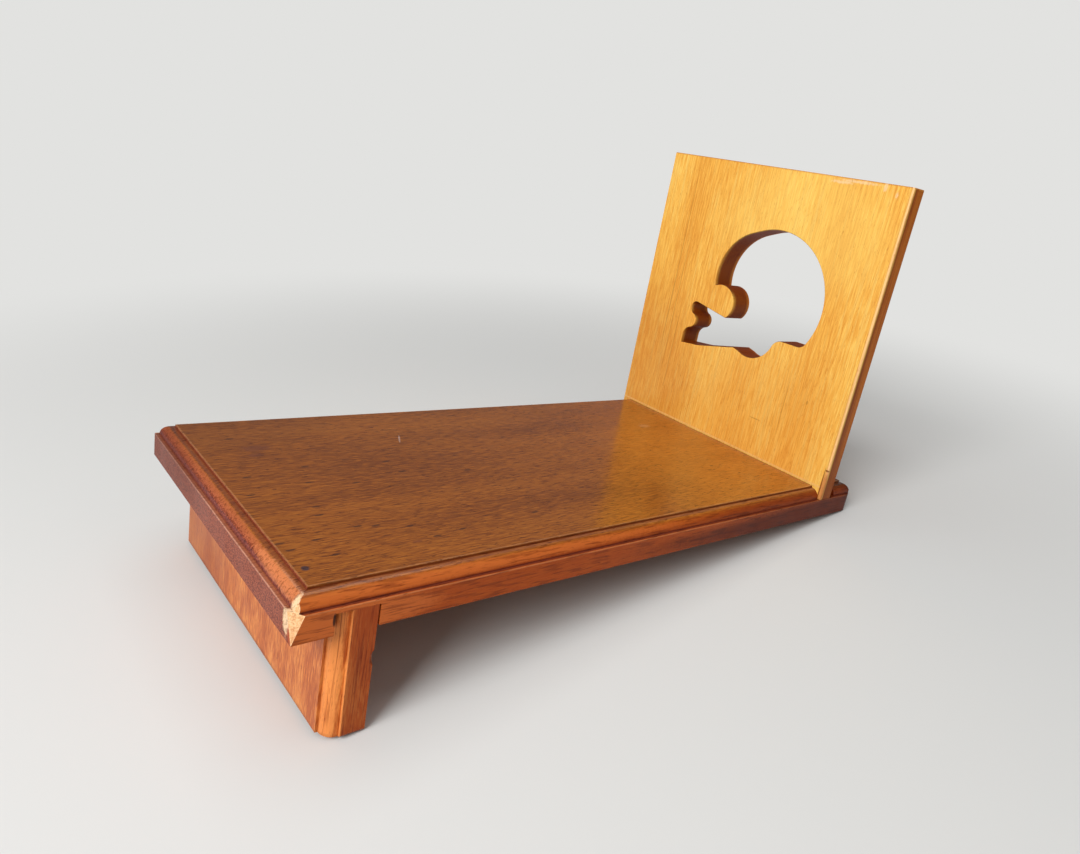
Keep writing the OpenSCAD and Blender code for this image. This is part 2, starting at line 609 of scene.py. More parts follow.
@dataclass(frozen=True)
class VarnishedMahogany:
    """Mahogany under old amber varnish: short dark pores along the grain, broad soft
    bands of colour, and a gloss that shows the board beside it. The grain's ends drink
    varnish and are redder and darker.

    Attributes:
        name: Name of the finish.
        dark: sRGB hex value of the dark bands.
        middle: sRGB hex value of most of the wood.
        light: sRGB hex value of the light bands.
        pore: sRGB hex value by which a pore or a growth line darkens the wood.
        end_grain: sRGB hex value of the darker end grain.
        edge: sRGB hex value of the moulding and edges.
        grain: Direction of the grain.
        band: Length and width of a colour band in millimetres.
        streak: Length and width of a streak.
        fibre: Length and width of a fibre's fleck.
        pore_size: Length and width of a pore.
        figure: Weights of the bands, the streaks and the flecks in the colour.
        contrast: How far from its middle the figure is all dark or all light.
        roughness: Roughness of the wood under the varnish.
        dulling: How much rougher or smoother its patches are.
        sheen: Specular level of the wood under the varnish.
        ior: Index of refraction of the wood's surface and of the varnish.
        coat: Share of the wood that the varnish still covers on the flat faces.
        edge_coat: The same on the edges, where hands have worn it.
        coat_roughness: Roughness of the varnish.
        face_lines: How dark the growth lines are on the flat faces.
        edge_lines: How dark they are on the edges.
        pore_share: How much of the wood's colour a pore hides on the flat faces.
        edge_pore_share: The same on the edges.
        stains_and_light: Marks and wear, and painted highlights and painted shade.
    """

    name: str
    dark: str
    middle: str
    light: str
    pore: str
    end_grain: str
    edge: str
    grain: Grain
    band: Flat = (150.0, 26.0)
    streak: Flat = (24.0, 1.0)
    fibre: Flat = (2.6, 0.4)
    pore_size: Flat = (3.4, 0.3)
    figure: Point = (0.3, 0.2, 0.45)
    contrast: float = 0.095
    roughness: float = 0.45
    dulling: float = 0.06
    sheen: float = 0.1
    ior: float = 1.5
    coat: float = 1.0
    edge_coat: float = 0.12
    coat_roughness: float = 0.12
    face_lines: float = 0.12
    edge_lines: float = 0.5
    pore_share: float = 0.5
    edge_pore_share: float = 0.3
    stains_and_light: tuple[StainAndLight, ...] = ()


# Settings of nodes that are added often. The sockets of a MapRange are its value, the range
# that it reads and the range that it gives. Those of a Mix of colours are its share (0), the
# colour underneath (6), the colour on top (7) and, among its outputs, the result (2).
SOFT_STEP = {"interpolation_type": "SMOOTHSTEP"}
COLOURS = {"data_type": "RGBA"}
WEIGHED_SUM = {"operation": "MULTIPLY_ADD"}


class NodeBench:
    """A shader's tree, laid out afresh, to which nodes are added one at a time."""

    def __init__(self, owner: bpy.types.Material | bpy.types.World) -> None:
        """Clears the tree.

        Args:
            owner: The material or the world whose tree it is.
        """
        owner.use_nodes = True
        self.tree = owner.node_tree
        self.tree.nodes.clear()

    def add(
        self, kind: str, inputs: dict[int | str, object] | list[object], **settings: object
    ) -> bpy.types.NodeOutputs:
        """Adds one node with its settings and links.

        Args:
            kind: Blender's name of the node's type, after the word ShaderNode.
            inputs: A value or another node's socket for each input: a list from the first
                input on, or a dictionary by the inputs' names or numbers.
            **settings: The node's own settings.

        Returns:
            The node's outputs.
        """
        node = self.tree.nodes.new("ShaderNode" + kind)
        for name, value in settings.items():
            setattr(node, name, value)
        for key, value in inputs.items() if isinstance(inputs, dict) else enumerate(inputs):
            if isinstance(value, Socket):
                self.tree.links.new(value, node.inputs[key])
            else:
                node.inputs[key].default_value = value
        return node.outputs


class FinishRoom(NodeBench):
    """Builds the node tree of one board's finish.

    Attributes:
        band_seed: Seed of the bands' noise, which sets it apart from the others.
        streak_seed: Seed of the streaks' noise.
        fibre_seed: Seed of the fibres' noise.
        pore_seed: Seed of the pores' noise.
        seed_way: Direction in which a seed shifts its noise.
        speckle: Patterns to a millimetre, and finer octaves, of the speckle on end grain.
        breakup: The same of the noise that makes a mark's edge ragged.
        patches: The same of the duller and glossier patches.
        speckle_step: Levels of its noise between which the speckle comes in.
        patch_step: The same for the dull patches.
        line_step: The same of the streaks' noise for the growth lines.
        pore_step: The same for the pores.
        ends_turn: How squarely a face looks along the grain as end grain starts and is full.
        edges_turn: How squarely it looks off the moulded face as worn edges start and are
            full.
        mitre_step: Numbers of the side between which the raised end's marks come in.
        pore_drop: How far a pore is below the fibres, in their own height.
        relief: Strength of the surface's relief, and its height in metres.
    """

    band_seed = 3.1
    streak_seed = 7.7
    fibre_seed = 1.3
    pore_seed = 5.9
    seed_way = (1.0, 1.7, 0.6)
    speckle = (1.8, 3.0)
    breakup = (0.8, 4.0)
    patches = (0.06, 2.0)
    speckle_step = (0.38, 0.62)
    patch_step = (0.3, 0.7)
    line_step = (0.5, 0.64)
    pore_step = (0.62, 0.7)
    ends_turn = (0.25, 0.95)
    edges_turn = (0.99, 0.85)
    mitre_step = (0.6, 0.4)
    pore_drop = -0.7
    relief = {"Strength": 0.18, "Distance": 0.0002}

    def __init__(
        self, finish: VarnishedMahogany, sizes: StandSizes, moulded: MouldedFace | None = None
    ) -> None:
        """Opens a new material.

        Args:
            finish: What the finish is like.
            sizes: Sizes of the stand, for its place on the table.
            moulded: Where the board is moulded, if its marks follow the moulding.
        """
        self.material = bpy.data.materials.new(finish.name)
        super().__init__(self.material)
        self.finish = finish
        self.sizes = sizes
        self.moulded = moulded

    def board_place(self) -> Socket:
        """Finds the place on the board.

        Returns:
            The place, in millimetres in the base board's frame.
        """
        slope = self.sizes.slope
        own = self.add("TexCoord", [])["Object"]
        back = {
            "Vector": own,
            "Scale": [1 / METRES] * 3,
            "Rotation": (0.0, -slope, 0.0),
            "Location": Matrix.Rotation(-slope, 3, "Y") @ -self.sizes.place,
        }
        return self.add("Mapping", back)[0]

    def measure(self, place: bpy.types.NodeOutputs, gauge: Gauge) -> Socket:
        """Distance that a gauge reads at a place, which is split into its three parts."""
        reading = [place[gauge.axis], gauge.way, -gauge.way * gauge.start]
        return self.add("Math", reading, **WEIGHED_SUM)[0]

    def least(self, distances: list[Socket]) -> Socket:
        """Picks the least of several distances.

        Args:
            distances: The distances.

        Returns:
            The least one.
        """
        least = distances[0]
        for distance in distances[1:]:
            least = self.add("Math", [least, distance], operation="MINIMUM")[0]
        return least

    def section_place(self, place: Socket) -> Socket:
        """Finds the place in the moulding's section.

        Args:
            place: Place on the board.

        Returns:
            Distance from the nearest moulded edge, 0 at the raised end and 1 along the
            sides, and height from the flat face. A plain board keeps its own place.
        """
        if self.moulded is None:
            return place
        parts = self.add("SeparateXYZ", [place])
        edges = [self.measure(parts, edge) for edge in self.moulded.edges]
        side = 1.0
        blur = self.moulded.mitre_blur
        if blur:
            past = [edges[2], self.least(edges[:2])]
            past_mitre = self.add("Math", past, operation="SUBTRACT")[0]
            side = self.add("MapRange", [past_mitre, -blur, blur])[0]
        height = self.measure(parts, self.moulded.face)
        return self.add("CombineXYZ", [self.least(edges), side, height])[0]

    def grain_noise(
        self, place: Socket, length: float, width: float, detail: float, seed: float
    ) -> Socket:
        """Noise drawn out along the grain.

        Args:
            place: Place on the board.
            length: Length of one streak in millimetres.
            width: Its width in millimetres.
            detail: How many finer octaves it has.
            seed: Shifts the pattern.

        Returns:
            The noise, from 0 to 1.
        """
        scale = [1 / width] * 3
        scale[self.finish.grain.value] = 1 / length
        shift = [seed * part for part in self.seed_way]
        drawn = self.add("Mapping", {"Vector": place, "Scale": scale, "Location": shift})[0]
        return self.add("TexNoise", {"Vector": drawn, "Scale": 1.0, "Detail": detail})[0]

    def facing(self, axis: int) -> Socket:
        """How squarely the surface looks along one of the board's axes, either way.

        Args:
            axis: Number of the axis.

        Returns:
            From 0, side on, to 1, square.
        """
        direction = Vector((0.0, 0.0, 0.0))
        direction[axis] = 1.0
        direction = Matrix.Rotation(self.sizes.slope, 3, "Y") @ direction
        normal = self.add("NewGeometry", [])["Normal"]
        share = self.add("VectorMath", [normal, direction], operation="DOT_PRODUCT")
        return self.add("Math", [share["Value"]], operation="ABSOLUTE")[0]

    def stain_and_light_mask(
        self, stain_and_light: StainAndLight, place: Socket, breakup: Socket, full: float = 0.55
    ) -> Socket:
        """Where a colour patch's marks lie.

        Args:
            stain_and_light: The colour patch.
            place: Place on the board or in the moulding's section.
            breakup: Noise that makes edges ragged.
            full: Share of a mark's reach that has its full strength.

        Returns:
            The mask, from 0 to the patch's strength.
        """
        mask = None
        for mark in stain_and_light.marks:
            turn = [0.0, 0.0, 0.0]
            turn[self.finish.grain.across_face] = math.radians(mark.turn)
            patch = {0: place, "Location": mark.centre, "Rotation": turn, "Scale": mark.radii}
            local = self.add("Mapping", patch, vector_type="TEXTURE")[0]
            reach = self.add("VectorMath", [local], operation="LENGTH")["Value"]
            if mark.ragged:
                reach = self.add("Math", [breakup, mark.ragged, reach], **WEIGHED_SUM)[0]
            low, high = full + mark.ragged / 2, 1.0 + mark.ragged / 2
            fade = [reach, low, high, stain_and_light.strength, 0.0]
            spot = self.add("MapRange", fade, **SOFT_STEP)[0]
            if mask is None:
                mask = spot
            else:
                mask = self.add("Math", [mask, spot], operation="MAXIMUM")[0]
        return mask

    def figured(
        self, bands: Socket, streaks: Socket, fibres: Socket, overlap: float = 0.01
    ) -> Socket:
        """Colours the wood by its figure.

        Args:
            bands: Noise of the broad bands.
            streaks: Noise of the streaks.
            fibres: Noise of the flecks.
            overlap: How far dark and light reach past the middle of the figure.

        Returns:
            The colour of the wood, without its ends, marks and pores.
        """
        look = self.finish
        figure = self.add("Math", [bands, look.figure[0]], operation="MULTIPLY")[0]
        for noise, weight in ((streaks, look.figure[1]), (fibres, look.figure[2])):
            figure = self.add("Math", [noise, weight, figure], **WEIGHED_SUM)[0]
        middle = sum(look.figure) / 2
        colour = linear(look.middle)
        for way, band_colour in ((-1, look.dark), (1, look.light)):
            start, full = middle - way * overlap, middle + way * look.contrast
            share = self.add("MapRange", [figure, start, full], **SOFT_STEP)[0]
            over = {0: share, 6: colour, 7: linear(band_colour)}
            colour = self.add("Mix", over, **COLOURS)[2]
        return colour

    def build(self) -> bpy.types.Material:
        """Makes the material.

        Returns:
            The finished material.
        """
        look = self.finish
        place = self.board_place()
        edge_place = self.section_place(place)
        bands = self.grain_noise(place, *look.band, 1.0, self.band_seed)
        streaks = self.grain_noise(place, *look.streak, 2.0, self.streak_seed)
        fibres = self.grain_noise(place, *look.fibre, 2.0, self.fibre_seed)
        pores = self.grain_noise(place, *look.pore_size, 1.0, self.pore_seed)
        speckle, breakup, patches = (
            self.add("TexNoise", {"Vector": place, "Scale": scale, "Detail": detail})[0]
            for scale, detail in (self.speckle, self.breakup, self.patches)
        )
        colour = self.figured(bands, streaks, fibres)

        ends = self.facing(look.grain.value)
        ends = self.add("MapRange", [ends, *self.ends_turn], **SOFT_STEP)[0]
        speckle = self.add("MapRange", [speckle, *self.speckle_step], **SOFT_STEP)[0]
        end_colours = {0: speckle, 6: linear(look.end_grain), 7: linear(look.edge)}
        end_colour = self.add("Mix", end_colours, **COLOURS)[2]
        colour = self.add("Mix", {0: ends, 6: colour, 7: end_colour}, **COLOURS)[2]

        side = self.add("SeparateXYZ", [edge_place])[1]
        raised_end = self.add("MapRange", [side, *self.mitre_step], **SOFT_STEP)[0]
        for stain_and_light in look.stains_and_light:
            mask = self.stain_and_light_mask(stain_and_light, edge_place if stain_and_light.in_section else place, breakup)
            if stain_and_light.raised_end_only:
                mask = self.add("Math", [mask, raised_end], operation="MULTIPLY")[0]
            stained_and_lit = {0: mask, 6: colour, 7: linear(stain_and_light.colour)}
            colour = self.add("Mix", stained_and_lit, **COLOURS)[2]

        edges = self.facing(look.grain.across_face)
        edges = self.add("MapRange", [edges, *self.edges_turn], **SOFT_STEP)[0]
        coat = self.add("MapRange", {0: edges, 3: look.coat, 4: look.edge_coat})[0]
        line_depth = self.add("MapRange", {0: edges, 3: look.face_lines, 4: look.edge_lines})[0]
        pore_depths = {0: edges, 3: look.pore_share, 4: look.edge_pore_share}
        pore_depth = self.add("MapRange", pore_depths)[0]
        lines = self.add("MapRange", [streaks, *self.line_step], **SOFT_STEP)[0]
        lines = self.add("Math", [lines, line_depth], operation="MULTIPLY")[0]
        pores = self.add("MapRange", [pores, *self.pore_step], **SOFT_STEP)[0]
        darkest = self.add("Math", [pores, pore_depth, lines], **WEIGHED_SUM)[0]
        darkened = {0: darkest, 6: colour, 7: linear(look.pore)}
        colour = self.add("Mix", darkened, blend_type="MULTIPLY", **COLOURS)[2]

        height = self.add("Math", [pores, self.pore_drop, fibres], **WEIGHED_SUM)[0]
        relief = self.add("Bump", {"Height": height, **self.relief})[0]
        smooth, rough = look.roughness - look.dulling, look.roughness + look.dulling
        roughness = self.add("MapRange", [patches, *self.patch_step, smooth, rough])[0]
        shader = {
            "Base Color": colour,
            "Roughness": roughness,
            "IOR": look.ior,
            "Specular IOR Level": look.sheen,
            "Coat Weight": coat,
            "Coat Roughness": look.coat_roughness,
            "Coat IOR": look.ior,
            "Normal": relief,
        }
        self.add("OutputMaterial", {"Surface": self.add("BsdfPrincipled", shader)[0]})
        return self.material


def bare_wood(sizes: StandSizes) -> bpy.types.Material:
    """Mahogany worn through its varnish: pale, dry and speckled with brown pores.

    Args:
        sizes: Sizes of the stand.

    Returns:
        The finished material.
    """
    look = VarnishedMahogany(
        name="bare_worn_mahogany",
        dark="#d89a62",
        middle="#eec08c",
        light="#f6d0a2",
        pore="#d0a078",
        end_grain="#e2aa74",
        edge="#f3c797",
        grain=Grain.ALONG,
        roughness=0.6,
        coat=0.1,
        coat_roughness=0.4,
    )
    return FinishRoom(look, sizes).build()


# Boards


class Side(Enum):
    """Stretch of a moulding: middle and reach of its number in the section's second place."""

    RAISED_END = (0.0, 0.9)
    LONG_EDGES = (1.0, 0.9)
    ALL_ROUND = (0.5, 90.0)


def moulding_stain_and_light(
    colour: str,
    strength: float,
    centre: Flat,
    radii: Flat,
    ragged: float = 0.3,
    side: Side = Side.ALL_ROUND,
) -> StainAndLight:
    """A line or a band that follows the moulding.

    Args:
        colour: sRGB hex value.
        strength: How much of the wood it hides.
        centre: Distance of its middle from the board's edge, and height from the flat face.
        radii: How far it reaches along and down.
        ragged: How much its edge is broken up.
        side: The stretch of moulding that carries it.

    Returns:
        The colour patch, placed in the moulding's section.
    """
    middle, reach = side.value
    mark = Mark((centre[0], middle, centre[1]), (radii[0], reach, radii[1]), ragged)
    return StainAndLight(colour, strength, (mark,), in_section=True)


@dataclass
class BaseBoard:
    """The long moulded base, with a housing for each upright.

    Attributes:
        sizes: Sizes of the stand.
        rounding: Wear of every arris, in millimetres.
        far_corner: Radius of the raised back corner.
        lip_front_corner: Radius of the low front corner.
        lip_back_corner: Radius of the low back corner.
        worn_facet: Three corners of the facet worn on the raised front corner.
        housing_floor_gap: How far the panel's housing is cut below the panel.
    """

    sizes: StandSizes
    rounding: float = 0.3
    far_corner: float = 0.6
    lip_front_corner: float = 6.5
    lip_back_corner: float = 3.0
    worn_facet: tuple[Point, ...] = ((0.0, 4.6, -6.0), (3.6, 0.0, -6.6), (0.0, 0.0, -16.0))
    housing_floor_gap: float = 0.02

    def build(self, finishes: tuple[bpy.types.Material, ...]) -> bpy.types.Object:
        """Models the base.

        Args:
            finishes: Its materials, in the order of the layers.

        Returns:
            The finished object.
        """
        size = self.sizes
        low = (0, 0, -size.thickness)
        high = (size.length, size.width, -size.moulding.depth)
        board = Workpiece.block("base_wood_board", low, high, finishes)
        board.mould((0, 0, 1), size.moulding)
        self.wear_corners(board)
        self.cut_housings(board)
        board.ease(self.rounding)
        return board.set_on_table(size)

    def wear_corners(self, board: Workpiece) -> None:
        """Rounds three corners, and wears the raised front one down to bare wood.

        Args:
            board: The moulded base.
        """
        size = self.sizes
        low = (0, 0, -size.thickness - PAST)
        outline = Workpiece.block("outline", low, (size.length, size.width, PAST))
        corners = (
            (0.0, size.width, self.far_corner),
            (size.length, 0.0, self.lip_front_corner),
            (size.length, size.width, self.lip_back_corner),
        )
        for x, y, radius in corners:
            outline.round_edges(
                radius, lambda end, x=x, y=y: abs(end.x - x) + abs(end.y - y) < SAME_PLACE
            )
        board.combine(outline, "INTERSECT")
        across, deep, foot = (Vector(point) for point in self.worn_facet)
        outward = (foot - across).cross(deep - across)
        board.saw(tuple(across), tuple(outward), Layer.BARE)

    def cut_housings(self, board: Workpiece) -> None:
        """Cuts the housings for the panel and the foot, right across the board.

        Args:
            board: The base.
        """
        size = self.sizes
        gap = size.clearance
        panel_floor = -size.moulding.depth - self.housing_floor_gap
        foot_side = size.foot_inner + gap + size.foot_slack
        housings = (
            (size.panel_front - gap, size.panel_back + gap, panel_floor, PAST),
            (size.foot_set_in - gap, foot_side, -size.thickness - PAST, size.foot_top),
        )
        for start, end, bottom, top in housings:
            low, high = (start, -PAST, bottom), (end, size.width + PAST, top)
            board.combine(Workpiece.block("housing", low, high), "DIFFERENCE")

    def finish(self) -> bpy.types.Material:
        """Makes the base's finish.

        Returns:
            Its material.
        """
        size = self.sizes
        rim = size.moulding.width
        ledge = -size.moulding.depth
        through = 600.0
        panel_line = size.panel_front - 0.1
        dash_size = (2.4, 0.75, 1.0)
        dash_places = (
            (38.8, 39.4), (45.5, 37.8), (57.3, 33.6), (63.0, 23.1), (75.2, 24.9), (113.2, 28.2),
            (109.3, 75.0), (55.2, 75.4), (77.8, 93.2), (79.5, 81.2), (22.7, 132.0), (16.4, 91.1),
            (41.8, 95.9), (37.3, 80.4), (12.5, 75.0), (31.4, 58.9), (29.5, 52.0), (8.7, 35.8),
            (10.4, 30.3), (21.2, 34.5), (23.0, 22.5), (187.0, 70.0),
        )
        dashes = tuple(Mark((x, y, 0.0), dash_size, 0.6, 4.0) for x, y in dash_places)
        stains_and_light = (
            # Darker and more golden stretches of the deck and its warmer front side, then a painted
            # highlight on the front moulding's round and on the front side by the foot
            StainAndLight("#6a3410", 0.3, (Mark((20.0, 150.0, 0.0), (70.0, 40.0, 2.0), 0.2),)),
            StainAndLight("#cc7a20", 0.24, (Mark((268.0, 70.0, 0.0), (78.0, 110.0, 2.0), 0.2),)),
            StainAndLight("#b44a0c", 0.75, (Mark((160.0, 0.0, -8.0), (through, 5.6, 13.0), 0.2),)),
            StainAndLight(
                "#dc7636",
                0.55,
                (
                    Mark((20.0, 3.0, -3.4), (210.0, 2.6, 2.8), 0.4),
                    Mark((20.0, 0.0, -11.0), (40.0, 2.0, 7.0), 0.3),
                ),
            ),
            # The raised end's moulding: painted shade in the quirk and at the foot of the round,
            # painted highlights on the round and along the ledge's worn arris, the ledge in the
            # side's colour, and the moulding darker towards the back
            moulding_stain_and_light("#7c3a26", 0.5, (5.7, -1.2), (1.5, 0.9), 0.9, Side.RAISED_END),
            moulding_stain_and_light("#c87048", 0.4, (3.5, -2.3), (1.7, 1.5), 1.3, Side.RAISED_END),
            moulding_stain_and_light("#6c3c40", 0.5, (1.8, -5.0), (1.0, 1.4), 0.9, Side.RAISED_END),
            moulding_stain_and_light("#b06850", 0.7, (0.7, ledge), (1.0, 0.5), 0.6, Side.RAISED_END),
            moulding_stain_and_light("#e0a488", 0.65, (0.0, ledge), (0.4, 0.4), 0.9, Side.RAISED_END),
            moulding_stain_and_light("#7a3620", 0.5, (rim - 0.15, -0.75), (0.45, 0.75), 0.5, Side.RAISED_END),
            StainAndLight(
                "#642a1c",
                0.5,
                (Mark((1.0, 160.0, -9.0), (8.0, 85.0, 14.0), 0.3),),
                raised_end_only=True,
            ),
            StainAndLight(
                "#e8905a",
                0.5,
                (Mark((3.0, 14.0, -2.8), (3.2, 34.0, 3.2), 0.8),),
                raised_end_only=True,
            ),
            # The long edges' moulding: painted shade in the quirk and on the ledge, a painted
            # highlight along the ledge's worn arris, and all round a pale line on the deck's arris,
            # worn and partly a painted highlight
            moulding_stain_and_light("#8a5648", 0.35, (5.6, -1.2), (0.9, 0.6), 1.0, Side.LONG_EDGES),
            moulding_stain_and_light("#5c2a28", 0.7, (1.3, ledge + 0.1), (0.85, 0.65), 0.4, Side.LONG_EDGES),
            moulding_stain_and_light("#d88c58", 0.5, (0.0, ledge - 0.05), (0.45, 0.45), 0.9, Side.LONG_EDGES),
            moulding_stain_and_light("#6a2814", 0.7, (rim - 0.15, -0.75), (0.35, 0.7), 0.3, Side.LONG_EDGES),
            moulding_stain_and_light("#c98a58", 0.5, (rim + 0.3, 0.0), (0.4, 0.4), 1.5),
            # Painted shade on the front side towards the low end and on the lip behind the panel,
            # the dark line along the panel, and the far corner
            StainAndLight("#742c12", 0.6, (Mark((345.0, 1.5, -4.0), (190.0, 6.5, 6.5), 0.3),)),
            StainAndLight("#4c1004", 0.8, (Mark((345.0, -1.0, -12.5), (230.0, 6.0, 8.0), 0.2),)),
            StainAndLight("#481810", 0.6, (Mark((330.0, 80.0, -6.0), (22.0, 160.0, 20.0), 0.2),)),
            StainAndLight("#4a2210", 0.75, (Mark((panel_line, 80.0, 0.0), (0.8, through, 0.5)),)),
            StainAndLight("#ddb090", 0.6, (Mark((0.0, 160.0, -8.0), (0.7, 0.8, 3.6), 0.5),)),
            # Dark dashes, dirt, a dark spot, a scratch and a pale spot on the deck
            StainAndLight("#3c2019", 0.75, dashes),
            StainAndLight(
                "#6f3a2c",
                0.45,
                (
                    Mark((53.9, 21.7, 0.0), (2.6, 1.0, 1.0), 0.6),
                    Mark((30.1, 119.5, 0.0), (8.0, 4.0, 1.0), 0.8),
                    Mark((27.6, 112.3, 0.0), (4.0, 2.4, 1.0), 0.8),
                ),
            ),
            StainAndLight("#3a3040", 0.85, (Mark((10.3, 17.4, 0.0), (1.7, 1.9, 1.0), 0.7),)),
            StainAndLight("#c9a89a", 0.7, (Mark((97.0, 117.2, 0.0), (0.55, 6.2, 1.0), 0.0, -25.0),)),
            StainAndLight("#b98a70", 0.35, (Mark((257.0, 107.0, 0.0), (5.0, 3.0, 1.0), 0.9),)),
            # Bare wood round the worn corner, and a painted shadow in the slot beside the foot
            StainAndLight(
                "#f4d0a4",
                0.9,
                (
                    Mark((2.4, 3.9, -5.0), (5.2, 1.9, 6.5), 0.9, 45.0),
                    Mark((0.6, 3.4, -6.0), (1.8, 2.8, 1.6), 0.9),
                    Mark((2.4, 4.2, -4.9), (1.9, 2.6, 2.2), 0.8),
                    Mark((0.0, 5.0, -8.5), (1.5, 3.0, 7.0), 1.0),
                ),
                raised_end_only=True,
            ),
            StainAndLight("#1c0a06", 0.9, (Mark((13.6, 0.0, -10.0), (0.7, 4.0, 3.0), 0.2),)),
        )
        look = VarnishedMahogany(
            name="base_varnished_mahogany",
            dark="#7a3e14",
            middle="#9e5718",
            light="#b46a22",
            pore="#8c6a5c",
            end_grain="#6c2c1c",
            edge="#aa583c",
            grain=Grain.ALONG,
            streak=(13.0, 1.1),
            fibre=(5.5, 0.42),
            pore_size=(3.6, 0.45),
            figure=(0.2, 0.3, 0.45),
            coat_roughness=0.19,
            pore_share=0.8,
            face_lines=0.35,
            stains_and_light=stains_and_light,
        )
        edges = (Gauge(1), Gauge(1, size.width, -1), Gauge(0), Gauge(0, size.length, -1))
        return FinishRoom(look, size, MouldedFace(edges, Gauge(2), mitre_blur=0.4)).build()


